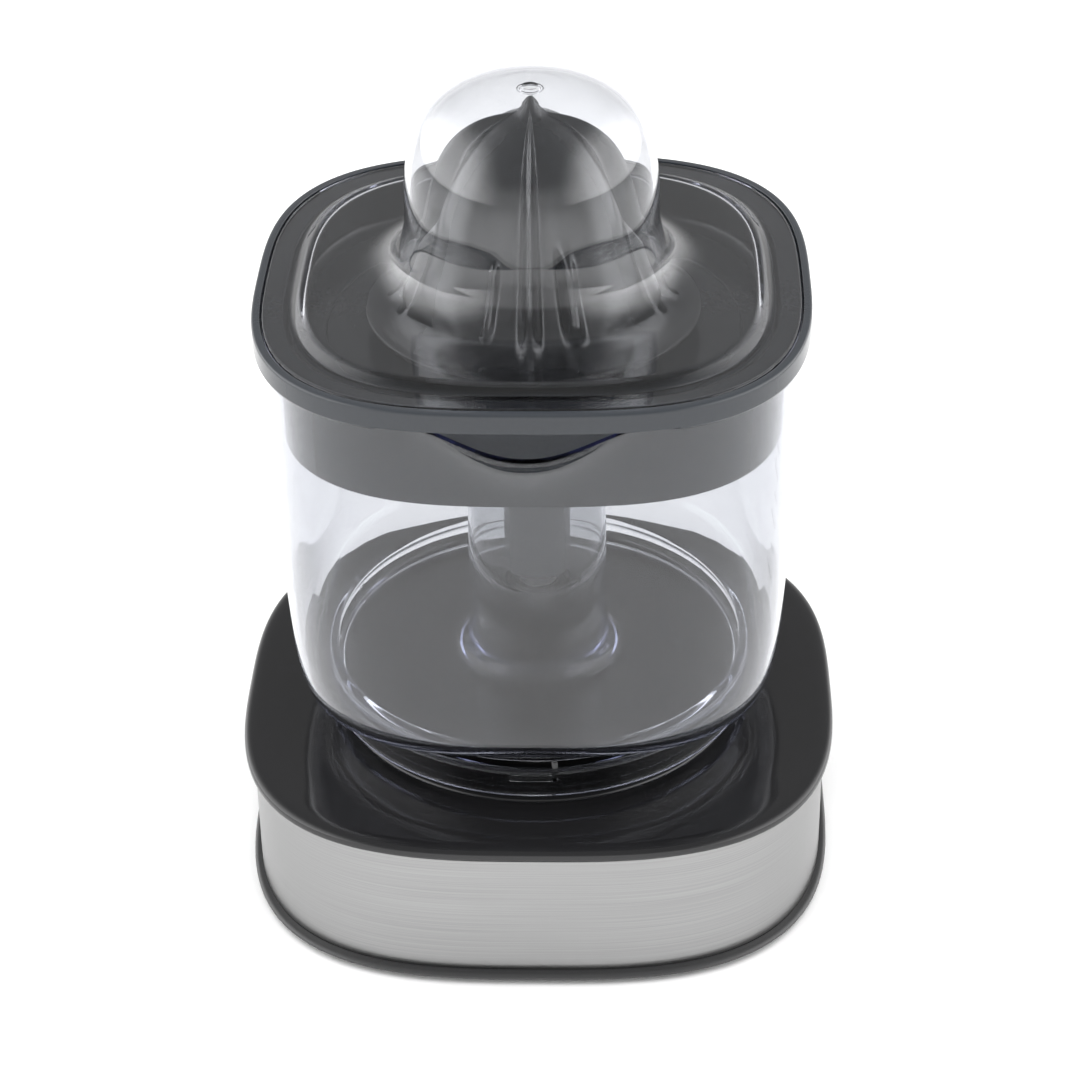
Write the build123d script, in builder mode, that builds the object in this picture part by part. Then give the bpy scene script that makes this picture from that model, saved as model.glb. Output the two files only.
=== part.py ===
from build123d import *
import math
import os

# Citrus press juicer, millimetres. +Z is up, the spout points along -Y, and the
# origin is where the drive spindle's axis meets the surface the feet stand on.

os.makedirs("parts", exist_ok=True)

# ---------------------------------------------------------------- driving sizes
# Every four-sided outline is a superellipse, a square with bulging sides.
OUTLINE_POWER = 3.0
OUTLINE_POINTS = 32

# base
plate_half_x, plate_half_y = 82.5, 79.0
plate_bottom, plate_top = 40.5, 44.0
foot_rim_half_x, foot_rim_half_y = 82.0, 81.2
foot_rim_bottom, foot_rim_top = 1.0, 3.4
band_half_x, band_half_y = 80.0, 78.6
band_thickness = 0.8
housing_wall = 2.2
rear_split_y = 4.0
platform_radius, platform_top = 56.0, 55.0
tower_radius, tower_top = 15.0, 80.0

# jug
jug_wall = 2.0
jug_bottom, jug_rim = 62.0, 166.3
jug_skirt_radius, jug_skirt_bottom = 59.1, 47.0
jug_floor_bottom, jug_floor_top = 55.4, 57.4
column_radius_low, column_radius_high, column_top = 19.5, 18.5, 138.0
spout_reach, spout_low = 78.0, 147.0
spout_dip, spout_half = 4.0, 27.0

# strainer basket
rim_half_x, rim_half_y = 72.3, 73.0
rim_bottom, rim_top, ledge_z = 166.5, 173.1, 171.0
basket_half = 65.6
basket_bottom = 142.7
basket_wall = 1.8
strainer_bottom, strainer_top = 156.0, 158.0
neck_radius, neck_bore, neck_top = 14.0, 9.4, 161.0

# dust cover
cover_half_x, cover_half_y = 69.7, 70.4
cover_wall = 1.6
plateau_z = 175.0
dome_radius, dome_rise, dome_centre_z = 33.0, 35.0, 191.3
DOME_POWER = 3.0
dome_side_z, dome_foot_radius = 183.0, 34.6
flare_width, flare_rise = 11.0, 8.0

# drive
spindle_bottom, spindle_top = 14.0, 108.0
hex_drive_flats = 8.0
stem_radius, stem_bottom = 9.0, 84.5
gear_module, train_module = 1.0, 0.8
output_teeth, pinion_teeth = 60, 12
wheel_teeth, motor_teeth = 50, 10
gear_x = gear_module * (output_teeth + pinion_teeth) / 2
motor_y = train_module * (wheel_teeth + motor_teeth) / 2
MOTOR = (gear_x, motor_y)
COMPOUND = (gear_x, 0)


# ------------------------------------------------------------------ helpers
def outline(half_x, half_y, power=OUTLINE_POWER):
    """Points of a superellipse, ready for a closed spline."""
    points = []
    for i in range(OUTLINE_POINTS):
        angle = 2 * math.pi * i / OUTLINE_POINTS
        cosine, sine = math.cos(angle), math.sin(angle)
        x = half_x * math.copysign(abs(cosine) ** (2 / power), cosine)
        y = half_y * math.copysign(abs(sine) ** (2 / power), sine)
        points.append((x, y))
    return points


def block(half_x, half_y, bottom, top, edge=0.0):
    """A prism on the four-sided outline; edge rounds its top edge."""
    with BuildPart(mode=Mode.PRIVATE) as prism:
        with BuildSketch(Plane.XY.offset(bottom)):
            with BuildLine():
                Spline(*outline(half_x, half_y), periodic=True)
            make_face()
        extrude(amount=top - bottom)
        if edge:
            fillet(prism.faces().sort_by(Axis.Z)[-1].edges(), edge)
    return prism.part


def skin(sections):
    """A loft through (half_x, half_y, z) sections of the four-sided outline."""
    with BuildPart(mode=Mode.PRIVATE) as lofted:
        for half_x, half_y, z in sections:
            with BuildSketch(Plane.XY.offset(z)):
                with BuildLine():
                    Spline(*outline(half_x, half_y), periodic=True)
                make_face()
        loft()
    return lofted.part


def turned(points):
    """A solid of revolution about Z from (radius, z) corners."""
    with BuildPart(mode=Mode.PRIVATE) as round_part:
        with BuildSketch(Plane.XZ):
            with BuildLine():
                Polyline(*points, close=True)
            make_face()
        revolve(axis=Axis.Z)
    return round_part.part


def tube(outer, inner, bottom, top, at=(0, 0)):
    """A round sleeve standing at a point of the base."""
    with BuildPart(mode=Mode.PRIVATE) as sleeve:
        with BuildSketch(Plane.XY.offset(bottom)):
            with Locations(at):
                Circle(outer)
                if inner:
                    Circle(inner, mode=Mode.SUBTRACT)
        extrude(amount=top - bottom)
    return sleeve.part


def hex_bar(across_flats, bottom, top):
    """A hexagonal bar on the spindle's axis."""
    with BuildPart(mode=Mode.PRIVATE) as bar:
        with BuildSketch(Plane.XY.offset(bottom)):
            RegularPolygon(across_flats / 2, 6, major_radius=False)
        extrude(amount=top - bottom)
    return bar.part


def gear_points(teeth, module, first_tooth_deg, at):
    """Outline of a spur gear with involute flanks and a little backlash."""
    pitch = module * teeth / 2
    base = pitch * math.cos(math.radians(20))
    tip = pitch + 0.8 * module
    root = pitch - 1.1 * module
    backlash = 0.10 * module / pitch

    def involute(radius):
        if radius <= base:
            return 0.0
        roll = math.sqrt((radius / base) ** 2 - 1)
        return roll - math.atan(roll)

    half_tooth = math.pi / (2 * teeth) - backlash + involute(pitch)
    radii = [root, max(base, root + 0.1 * module), pitch, tip]
    points = []
    for tooth in range(teeth):
        centre = math.radians(first_tooth_deg) + 2 * math.pi * tooth / teeth
        flank = [(radius, half_tooth - involute(radius)) for radius in radii]
        rising = [(radius, centre - turn) for radius, turn in flank]
        falling = [(radius, centre + turn) for radius, turn in reversed(flank)]
        for radius, angle in rising + falling:
            points.append((at[0] + radius * math.cos(angle), at[1] + radius * math.sin(angle)))
    return points


def gear(teeth, module, bottom, top, first_tooth_deg, at=(0, 0)):
    """A toothed disc standing at a point of the base."""
    with BuildPart(mode=Mode.PRIVATE) as toothed:
        with BuildSketch(Plane.XY.offset(bottom)):
            with BuildLine():
                Polyline(*gear_points(teeth, module, first_tooth_deg, at), close=True)
            make_face()
        extrude(amount=top - bottom)
    return toothed.part


def save(builder, name):
    """Label a finished piece and write its STEP file."""
    builder.part.label = name
    export_step(builder.part, f"parts/{name}.step")


# ------------------------------------------------------------------ base shells
housing_half_x = band_half_x - band_thickness
housing_half_y = band_half_y - band_thickness
post_top = 25.2
TRAY_POSTS = [(-46, -34), (-46, 34), (20, -44), (58, -12)]
CASE_SCREWS = [(-62, -34), (62, -34), (-62, 34), (62, 34)]
FEET = [(0, 0), (-48, -58), (48, -58), (-48, 58), (48, 58)]
foot_radius = 7.0
foot_height = 2.2
lever_pivot = (-14.0, 13.0)
case_floor = foot_rim_top
rear_cover_step = 1.2
cover_lip_bottom = 36.5
gland_z, gland_x, gland_radius = 14.0, -30.0, 4.0

with BuildPart() as lower_housing:
    add(block(foot_rim_half_x, foot_rim_half_y, foot_rim_bottom, foot_rim_top, 0.8))
    add(block(housing_half_x, housing_half_y, foot_rim_bottom, plate_bottom - 0.1))
    add(
        block(housing_half_x - housing_wall, housing_half_y - housing_wall, case_floor, plate_bottom),
        mode=Mode.SUBTRACT,
    )
    with BuildSketch(Plane.XY.offset(case_floor)):
        with Locations(*TRAY_POSTS):
            Circle(4.0)
    extrude(amount=post_top - case_floor)
    with BuildSketch(Plane.XY.offset(case_floor)):
        with Locations(*CASE_SCREWS):
            Circle(4.5)
    extrude(amount=plate_bottom - 0.1 - case_floor)
    with BuildSketch(Plane.XY.offset(case_floor)):
        with Locations((lever_pivot[0], -7.2), (lever_pivot[0], 7.2)):
            Rectangle(5.0, 2.0)
    extrude(amount=lever_pivot[1] + 2.4 - case_floor)
    with Locations((lever_pivot[0], 0, lever_pivot[1])):
        Cylinder(1.0, 20, rotation=(90, 0, 0), mode=Mode.SUBTRACT)
    with BuildSketch(Plane.XY.offset(foot_rim_bottom)):
        with Locations(*FEET):
            Circle(foot_radius)
    extrude(amount=foot_height - foot_rim_bottom, mode=Mode.SUBTRACT)
    with Locations(*[(x, y, foot_rim_bottom) for x, y in CASE_SCREWS]):
        Cylinder(3.6, 4, align=(Align.CENTER, Align.CENTER, Align.MIN), mode=Mode.SUBTRACT)
        Cylinder(1.8, 60, align=(Align.CENTER, Align.CENTER, Align.MIN), mode=Mode.SUBTRACT)
    with Locations(*[(x, y, post_top - 14) for x, y in TRAY_POSTS]):
        Cylinder(1.4, 15, align=(Align.CENTER, Align.CENTER, Align.MIN), mode=Mode.SUBTRACT)
    with Locations((gland_x, housing_half_y - 8, gland_z)):
        Cylinder(gland_radius, 30, rotation=(90, 0, 0), mode=Mode.SUBTRACT)
save(lower_housing, "lower_housing")

with BuildPart() as steel_band:
    add(block(band_half_x, band_half_y, foot_rim_top, plate_bottom))
    add(block(housing_half_x, housing_half_y, foot_rim_top, plate_bottom), mode=Mode.SUBTRACT)
    with BuildSketch(Plane.XY):
        with Locations((0, rear_split_y)):
            Rectangle(200, 120, align=(Align.CENTER, Align.MIN))
    extrude(amount=60, mode=Mode.SUBTRACT)
save(steel_band, "steel_band")

with BuildPart() as rear_cover:
    add(block(band_half_x + rear_cover_step, band_half_y + rear_cover_step, foot_rim_top, plate_bottom))
    add(block(housing_half_x, housing_half_y, foot_rim_top, plate_bottom), mode=Mode.SUBTRACT)
    with BuildSketch(Plane.XY):
        with Locations((0, rear_split_y)):
            Rectangle(200, 120, align=(Align.CENTER, Align.MAX))
    extrude(amount=60, mode=Mode.SUBTRACT)
    with Locations((gland_x, housing_half_y, gland_z)):
        Cylinder(gland_radius, 30, rotation=(90, 0, 0), mode=Mode.SUBTRACT)
save(rear_cover, "rear_cover")

bush_seat_radius = 7.5
with BuildPart() as top_cover:
    add(block(plate_half_x, plate_half_y, plate_bottom, plate_top, 1.6))
    add(block(housing_half_x - housing_wall - 0.2, housing_half_y - housing_wall - 0.2, cover_lip_bottom, plate_bottom))
    add(
        block(housing_half_x - housing_wall - 2.2, housing_half_y - housing_wall - 2.2, cover_lip_bottom, 42.0),
        mode=Mode.SUBTRACT,
    )
    with BuildSketch(Plane.XY.offset(cover_lip_bottom)):
        with Locations(*CASE_SCREWS):
            Circle(6.0)
    extrude(amount=4.0, mode=Mode.SUBTRACT)
    add(tube(platform_radius, 0, plate_top - 1, platform_top))
    fillet(top_cover.faces().filter_by(GeomType.PLANE).group_by(Axis.Z)[-1].edges(), 1.0)
    add(turned([(0, 50), (18.5, 50), (18.0, 67), (tower_radius, 70), (tower_radius, tower_top), (0, tower_top)]))
    add(tube(platform_radius - 2.5, 0, cover_lip_bottom, platform_top - 2.2), mode=Mode.SUBTRACT)
    add(turned([(0, 50), (14.0, 50), (14.0, 64), (11.0, 68), (0, 68)]), mode=Mode.SUBTRACT)
    add(tube(bush_seat_radius, 0, 60, 76.5), mode=Mode.SUBTRACT)
    add(tube(9.0, 0, 76.0, tower_top), mode=Mode.SUBTRACT)
    with BuildSketch(Plane.XY.offset(42.0)):
        with Locations(*CASE_SCREWS):
            Circle(4.5)
    extrude(amount=-1.6)
    with Locations(*[(x, y, plate_bottom) for x, y in CASE_SCREWS]):
        Cylinder(1.3, 2.0, align=(Align.CENTER, Align.CENTER, Align.MIN), mode=Mode.SUBTRACT)
save(top_cover, "top_cover")

with BuildPart() as feet:
    with BuildSketch():
        with Locations(*FEET):
            Circle(foot_radius)
    extrude(amount=foot_height)
    fillet(feet.faces().group_by(Axis.Z)[0].edges(), 0.6)
save(feet, "feet")

with BuildPart() as housing_screws:
    with Locations(*[(x, y, 2.4) for x, y in CASE_SCREWS]):
        Cylinder(3.3, 2.6, align=(Align.CENTER, Align.CENTER, Align.MIN))
        Cylinder(1.3, 37.9, align=(Align.CENTER, Align.CENTER, Align.MIN))
save(housing_screws, "housing_screws")

with BuildPart() as cord_gland:
    gland_plane = Plane.XZ.offset(-(housing_half_y - 8))
    with BuildSketch(gland_plane):
        with Locations((gland_x, gland_z)):
            Circle(gland_radius)
            Circle(gland_radius - 1.4, mode=Mode.SUBTRACT)
    extrude(amount=-10)
    with BuildSketch(Plane.XZ.offset(-(housing_half_y + 1.6))):
        with Locations((gland_x, gland_z)):
            Circle(gland_radius + 1.6)
            Circle(gland_radius - 1.4, mode=Mode.SUBTRACT)
    extrude(amount=-1.2)
save(cord_gland, "cord_gland")

# ------------------------------------------------------------------ gearbox
tray_top = 27.0
with BuildPart() as gear_tray:
    with BuildSketch(Plane.XY.offset(post_top)):
        Circle(16)
        with Locations(MOTOR):
            Circle(22)
        with Locations(COMPOUND):
            Circle(12)
        with BuildLine():
            Polyline((-50, -38), (24, -50), (64, -14), (60, 24), (-50, 38), close=True)
        make_face()
    extrude(amount=tray_top - post_top)
    add(tube(11, 0, post_top, 32.0))
    add(tube(7, 0, post_top - 4, 32.0), mode=Mode.SUBTRACT)
    add(tube(3.6, 0, post_top - 5, tray_top, COMPOUND))
    add(tube(1.5, 0, post_top - 5, tray_top, COMPOUND), mode=Mode.SUBTRACT)
    add(tube(5.0, 0, post_top - 1, tray_top + 1, MOTOR), mode=Mode.SUBTRACT)
    with Locations(*[(x, y, post_top) for x, y in TRAY_POSTS]):
        Cylinder(1.6, 3, align=(Align.CENTER, Align.CENTER, Align.MIN), mode=Mode.SUBTRACT)
save(gear_tray, "gear_tray")

with BuildPart() as tray_screws:
    with Locations(*[(x, y, tray_top) for x, y in TRAY_POSTS]):
        Cylinder(3.0, 1.8, align=(Align.CENTER, Align.CENTER, Align.MIN))
        Cylinder(1.4, 12, align=(Align.CENTER, Align.CENTER, Align.MAX))
save(tray_screws, "tray_screws")

with BuildPart() as lower_bush:
    add(tube(7, 4.55, 24.0, 32.0))
save(lower_bush, "lower_bush")

with BuildPart() as upper_bush:
    add(tube(bush_seat_radius, 5.05, 66.0, 76.4))
save(upper_bush, "upper_bush")

with BuildPart() as shaft_seal:
    add(tube(9.0, 5.05, 76.5, 79.6))
    add(tube(8.2, 6.2, 77.6, 79.6), mode=Mode.SUBTRACT)
save(shaft_seal, "shaft_seal")

with BuildPart() as gear_washer:
    add(tube(10.0, 5.4, 32.0, 32.8))
save(gear_washer, "gear_washer")

with BuildPart() as compound_axle:
    add(tube(1.5, 0, 20.5, 44.0, COMPOUND))
save(compound_axle, "compound_axle")

with BuildPart() as output_gear:
    add(gear(output_teeth, gear_module, 34.4, 41.0, 0))
    add(tube(9.5, 0, 32.9, 46.0))
    with BuildSketch(Plane.XY.offset(34.4)):
        with PolarLocations(19, 6):
            Circle(5)
    extrude(amount=7, mode=Mode.SUBTRACT)
    add(tube(4.6, 0, 30, 36.0), mode=Mode.SUBTRACT)
    add(hex_bar(9.1, 32, 47), mode=Mode.SUBTRACT)
save(output_gear, "output_gear")

with BuildPart() as compound_gear:
    add(gear(wheel_teeth, train_module, 28.2, 32.4, 90, COMPOUND))
    add(gear(pinion_teeth, gear_module, 32.4, 42.0, 195, COMPOUND))
    add(tube(1.56, 0, 27, 43, COMPOUND), mode=Mode.SUBTRACT)
save(compound_gear, "compound_gear")

# ------------------------------------------------------------------ motor
motor_bottom, motor_top = 6.0, 25.2
with BuildPart() as motor_case:
    add(tube(19.0, 17.6, motor_bottom, motor_top, MOTOR))
    add(tube(19.0, 3.0, motor_bottom, motor_bottom + 1.4, MOTOR))
    add(tube(19.0, 5.0, motor_top - 1.4, motor_top, MOTOR))
save(motor_case, "motor_case")

with BuildPart() as motor_coil:
    add(tube(17.4, 10.5, motor_bottom + 2, motor_top - 2, MOTOR))
save(motor_coil, "motor_coil")

with BuildPart() as motor_bearings:
    add(tube(3.0, 1.56, motor_bottom - 1.4, motor_bottom + 1.4, MOTOR))
    add(tube(5.0, 1.56, motor_top - 1.4, motor_top + 1.0, MOTOR))
save(motor_bearings, "motor_bearings")

with BuildPart() as motor_rotor:
    add(tube(9.8, 1.5, motor_bottom + 2, motor_top - 2, MOTOR))
save(motor_rotor, "motor_rotor")

with BuildPart() as motor_shaft:
    add(tube(1.5, 0, motor_bottom - 1.6, 33.0, MOTOR))
save(motor_shaft, "motor_shaft")

with BuildPart() as motor_pinion:
    add(gear(motor_teeth, train_module, 27.6, 33.0, 288, MOTOR))
    add(tube(1.5, 0, 27, 34, MOTOR), mode=Mode.SUBTRACT)
save(motor_pinion, "motor_pinion")

# ------------------------------------------------------------------ spindle
with BuildPart() as spindle:
    add(tube(4.5, 0, spindle_bottom, 38))
    add(hex_bar(9.0, 37, 50))
    add(tube(5.0, 0, 50, 86))
    add(hex_bar(hex_drive_flats, 86, spindle_top))
    chamfer(spindle.faces().sort_by(Axis.Z)[-1].edges(), 0.8)
    chamfer(spindle.faces().sort_by(Axis.Z)[0].edges(), 1.2)
    add(tube(6, 4.6, 61.2, 62.0), mode=Mode.SUBTRACT)
save(spindle, "spindle")

with BuildPart() as spindle_circlip:
    add(tube(6.4, 4.6, 61.2, 62.0))
    with BuildSketch(Plane.XY.offset(61)):
        with Locations((6, 0)):
            Rectangle(5, 3)
    extrude(amount=2, mode=Mode.SUBTRACT)
save(spindle_circlip, "spindle_circlip")

with BuildPart() as spring_washer:
    add(tube(9.0, 5.02, 60.2, 61.2))
save(spring_washer, "spring_washer")

spring_wire, spring_radius = 0.6, 7.0
with BuildPart() as press_spring:
    with BuildLine():
        coil = Helix(pitch=2.8, height=12.6, radius=spring_radius, center=(0, 0, 46.8))
    with BuildSketch(Plane(coil @ 0, z_dir=coil % 0)):
        Circle(spring_wire)
    sweep(path=coil.edge())
save(press_spring, "press_spring")

# ------------------------------------------------------------------ press switch
switch_x, switch_top = -6.0, 9.9
with BuildPart() as microswitch:
    with BuildSketch(Plane.XY.offset(case_floor)):
        with Locations((switch_x, 0)):
            RectangleRounded(14, 9, 0.8)
    extrude(amount=switch_top - case_floor)
    with Locations((-4, 0, switch_top)):
        Cylinder(1.1, 4, align=(Align.CENTER, Align.CENTER, Align.MAX), mode=Mode.SUBTRACT)
save(microswitch, "microswitch")

with BuildPart() as switch_plunger:
    with Locations((-4, 0, 8.6)):
        Cylinder(1.03, 3.7, align=(Align.CENTER, Align.CENTER, Align.MIN))
save(switch_plunger, "switch_plunger")

with BuildPart() as lever_pin:
    with Locations((lever_pivot[0], 0, lever_pivot[1])):
        Cylinder(1.0, 18, rotation=(90, 0, 0))
save(lever_pin, "lever_pin")

with BuildPart() as switch_lever:
    with BuildSketch(Plane.XY.offset(12.5)):
        with Locations((lever_pivot[0], 0)):
            Rectangle(18, 7, align=(Align.MIN, Align.CENTER))
    extrude(amount=1.0)
    with Locations((lever_pivot[0], 0, lever_pivot[1])):
        Cylinder(2.0, 11.6, rotation=(90, 0, 0))
        Cylinder(1.05, 20, rotation=(90, 0, 0), mode=Mode.SUBTRACT)
save(switch_lever, "switch_lever")

with BuildPart() as terminal_block:
    with BuildSketch(Plane.XY.offset(case_floor)):
        with Locations((-30, 52)):
            RectangleRounded(24, 12, 1)
    extrude(amount=8)
    with Locations(*[(x, 52, 11.4) for x in (-36, -30, -24)]):
        Cylinder(2.0, 3, align=(Align.CENTER, Align.CENTER, Align.MAX), mode=Mode.SUBTRACT)
save(terminal_block, "terminal_block")

# ------------------------------------------------------------------ jug
spout_centre_y = -47.0
spout_top_radius = spout_reach + spout_centre_y
spout_low_radius = 21.5


def beak(shrink):
    """The cone that pushes the jug's wall out into a pouring lip."""
    with BuildPart(mode=Mode.PRIVATE) as cone:
        with BuildSketch(Plane.XY.offset(spout_low)):
            with Locations((0, spout_centre_y)):
                Circle(spout_low_radius - shrink)
        with BuildSketch(Plane.XY.offset(jug_rim)):
            with Locations((0, spout_centre_y)):
                Circle(spout_top_radius - shrink)
        loft()
    return cone.part


jug_sections = [(65.6, 65.6, jug_bottom), (67.4, 67.4, 82.0), (69.0, 69.0, 140.0), (68.6, 68.6, jug_rim)]
inside_sections = [
    (65.9 - jug_wall, 65.9 - jug_wall, jug_bottom + jug_wall),
    (67.4 - jug_wall, 67.4 - jug_wall, 82.0),
    (69.0 - jug_wall, 69.0 - jug_wall, 140.0),
    (68.6 - jug_wall, 68.6 - jug_wall, jug_rim + 0.01),
]
handle_outer_y, handle_root_y = 106.0, 66.0
handle_low, handle_high, handle_width = 84.0, 150.0, 20.0
rib_z, rib_thickness, rib_length, rib_bar, rib_leg = 53.3, 1.6, 13.0, 1.6, 7.0

with BuildPart() as jug:
    add(skin(jug_sections))
    fillet(jug.faces().sort_by(Axis.Z)[0].edges(), 6.0)
    add(beak(0))
    with BuildSketch(Plane.YZ):
        with Locations(((handle_outer_y + handle_root_y) / 2, (handle_low + handle_high) / 2)):
            RectangleRounded(handle_outer_y - handle_root_y, handle_high - handle_low, 14)
    extrude(amount=handle_width / 2, both=True)
    add(tube(jug_skirt_radius, 0, jug_skirt_bottom, jug_bottom + 4))
    add(skin(inside_sections), mode=Mode.SUBTRACT)
    add(beak(jug_wall), mode=Mode.SUBTRACT)
    add(tube(jug_skirt_radius - 1.8, 0, jug_floor_top, jug_bottom + 5), mode=Mode.SUBTRACT)
    add(tube(jug_skirt_radius - 1.6, 0, jug_skirt_bottom, jug_floor_bottom), mode=Mode.SUBTRACT)
    with BuildSketch(Plane.YZ):
        with Locations((84.5, (handle_low + handle_high) / 2)):
            RectangleRounded(31, handle_high - handle_low - 16, 9)
    extrude(amount=handle_width, both=True, mode=Mode.SUBTRACT)
    add(turned([
        (0, jug_floor_bottom), (24.5, jug_floor_bottom), (24.5, jug_floor_top), (23.0, jug_floor_top + 0.6),
        (20.4, jug_floor_top + 3.2), (column_radius_low, jug_floor_top + 6),
        (column_radius_high, column_top), (0, column_top),
    ]))
    add(turned([
        (0, jug_floor_bottom - 1), (column_radius_low - 0.2, jug_floor_bottom - 1),
        (column_radius_low - 0.4, jug_floor_bottom + 6),
        (column_radius_high - 1.8, column_top + 1), (0, column_top + 1),
    ]), mode=Mode.SUBTRACT)
    with BuildSketch(Plane.XZ.offset(60)):
        with BuildLine():
            Polyline(
                (-spout_half - 3, jug_rim + 1), (-spout_half, jug_rim), (0, jug_rim - spout_dip),
                (spout_half, jug_rim), (spout_half + 3, jug_rim + 1), close=True,
            )
        make_face()
    extrude(amount=30, mode=Mode.SUBTRACT)
    with PolarLocations(jug_skirt_radius, 3, start_angle=-90):
        with Locations((0, 0, rib_z)):
            Box(rib_thickness, rib_length, rib_bar)
        with Locations((0, (rib_length - rib_bar) / 2, rib_z + (rib_leg - rib_bar) / 2)):
            Box(rib_thickness, rib_bar, rib_leg)
save(jug, "jug")

# ------------------------------------------------------------------ strainer basket
slot_width, slot_length = 1.6, 7.0
SLOT_RINGS = [(22, 40), (31, 56)]
with BuildPart() as strainer_basket:
    add(block(rim_half_x, rim_half_y, rim_bottom, rim_top, 0.7))
    add(block(cover_half_x + 0.4, cover_half_y + 0.4, ledge_z, rim_top), mode=Mode.SUBTRACT)
    add(block(basket_half, basket_half, basket_bottom, rim_bottom))
    add(
        block(basket_half - basket_wall, basket_half - basket_wall, strainer_top, rim_top),
        mode=Mode.SUBTRACT,
    )
    add(
        block(basket_half - basket_wall, basket_half - basket_wall, basket_bottom, strainer_bottom),
        mode=Mode.SUBTRACT,
    )
    for ring_radius, slots in SLOT_RINGS:
        with BuildSketch(Plane.XY.offset(strainer_bottom)):
            with PolarLocations(ring_radius, slots):
                SlotOverall(slot_length, slot_width)
        extrude(amount=4, mode=Mode.SUBTRACT)
    add(tube(neck_radius, 0, strainer_bottom - 6, neck_top))
    add(tube(neck_bore, 0, strainer_bottom - 7, neck_top + 1), mode=Mode.SUBTRACT)
    with BuildSketch(Plane.XZ.offset(66.2)):
        with BuildLine():
            Polyline((-36, rim_bottom), (-33, rim_bottom + 1.8), (33, rim_bottom + 1.8), (36, rim_bottom), close=True)
        make_face()
    extrude(amount=12, mode=Mode.SUBTRACT)
save(strainer_basket, "strainer_basket")

# ------------------------------------------------------------------ stem and reamer
stem_flange_top = 163.0
head_flats, head_top = 12.0, 186.0
with BuildPart() as drive_stem:
    add(tube(stem_radius, 0, stem_bottom, 161.2))
    add(tube(12.6, 0, 161.2, stem_flange_top))
    add(hex_bar(head_flats, stem_flange_top, head_top))
    chamfer(drive_stem.faces().sort_by(Axis.Z)[-1].edges(), 1.0)
    add(tube(5.3, 0, stem_bottom - 1, 88.0), mode=Mode.SUBTRACT)
    add(hex_bar(hex_drive_flats + 0.24, 86, 112), mode=Mode.SUBTRACT)
save(drive_stem, "drive_stem")

reamer_bottom, flange_radius = 163.2, 44.0
rib_count = 8


def reamer_core(offset):
    """Closed outline of the reamer's valley surface, moved in by offset."""
    low = reamer_bottom + 2.2 - offset
    with BuildPart(mode=Mode.PRIVATE) as core:
        with BuildSketch(Plane.XZ):
            with BuildLine():
                Spline(
                    (0, 217.5 - offset), (14 - offset, 213.5 - offset), (24.5 - offset, 200), (27.5 - offset, 184),
                    (33.0 - offset, 169.5), (flange_radius - 2, low),
                    tangents=((1, 0), (1, -0.12)),
                )
                Line((flange_radius - 2, low), (flange_radius - 2, reamer_bottom - offset))
                Line((flange_radius - 2, reamer_bottom - offset), (0, reamer_bottom - offset))
                Line((0, reamer_bottom - offset), (0, 217.5 - offset))
            make_face()
        revolve(axis=Axis.Z)
    return core.part


with BuildPart() as rib:
    with BuildSketch(Plane.XZ):
        with BuildLine():
            Spline((2, 221.2), (16, 215.5), (27.0, 201), (29.8, 184), (36.4, 167.5), tangents=((1, -0.1), (1, -1)))
            Line((36.4, 167.5), (30, 165))
            Line((30, 165), (2, 190))
            Line((2, 190), (2, 221.2))
        make_face()
    extrude(amount=2.2, both=True)
    fillet(rib.edges().filter_by(GeomType.BSPLINE), 1.8)

with BuildPart() as hollow:
    add(reamer_core(2.4))
    add(tube(10.0, 0, reamer_bottom - 4, 230), mode=Mode.SUBTRACT)
    add(tube(60, flange_radius - 4, reamer_bottom - 4, 230), mode=Mode.SUBTRACT)

with BuildPart() as reamer:
    add(reamer_core(0))
    add(tube(flange_radius, 0, reamer_bottom, reamer_bottom + 2.0))
    with PolarLocations(0, rib_count, start_angle=-90):
        add(rib.part)
    add(turned([(0, 210), (3.2, 217), (0.25, 222.6), (0, 222.6)]))
    add(hollow.part, mode=Mode.SUBTRACT)
    add(hex_bar(head_flats + 0.24, reamer_bottom - 1, head_top + 0.6), mode=Mode.SUBTRACT)
save(reamer, "reamer")

# ------------------------------------------------------------------ dust cover
def crown_points(inset):
    """Quarter superellipse from the dome's pole down to its side."""
    points = []
    for step in range(9):
        angle = math.pi / 2 * step / 8
        across = (dome_radius - inset) * math.sin(angle) ** (2 / DOME_POWER)
        up = (dome_rise - inset) * abs(math.cos(angle)) ** (2 / DOME_POWER)
        points.append((across, dome_centre_z + up))
    points[-1] = (dome_radius - inset, dome_centre_z)
    return points


def dome_solid(inset):
    """The dome, its flared foot and a plug below, moved in by inset."""
    foot = plateau_z - inset
    flare_x = dome_foot_radius + flare_width
    bend_x, bend_z = dome_foot_radius + flare_width * 0.29, foot + flare_rise * 0.29
    with BuildPart(mode=Mode.PRIVATE) as dome:
        with BuildSketch(Plane.XZ):
            with BuildLine():
                crown = Spline(*crown_points(inset), tangents=((1, 0), (0, -1)))
                side = Line(crown @ 1, (dome_foot_radius - inset, dome_side_z))
                Spline(
                    side @ 1, (bend_x - inset, bend_z), (flare_x - inset, foot),
                    tangents=(side % 1, (1, 0)),
                )
                Line((flare_x - inset, foot), (flare_x - inset, foot - 1.0))
                Line((flare_x - inset, foot - 1.0), (0, foot - 1.0))
                Line((0, foot - 1.0), crown @ 0)
            make_face()
        revolve(axis=Axis.Z)
    return dome.part


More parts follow.
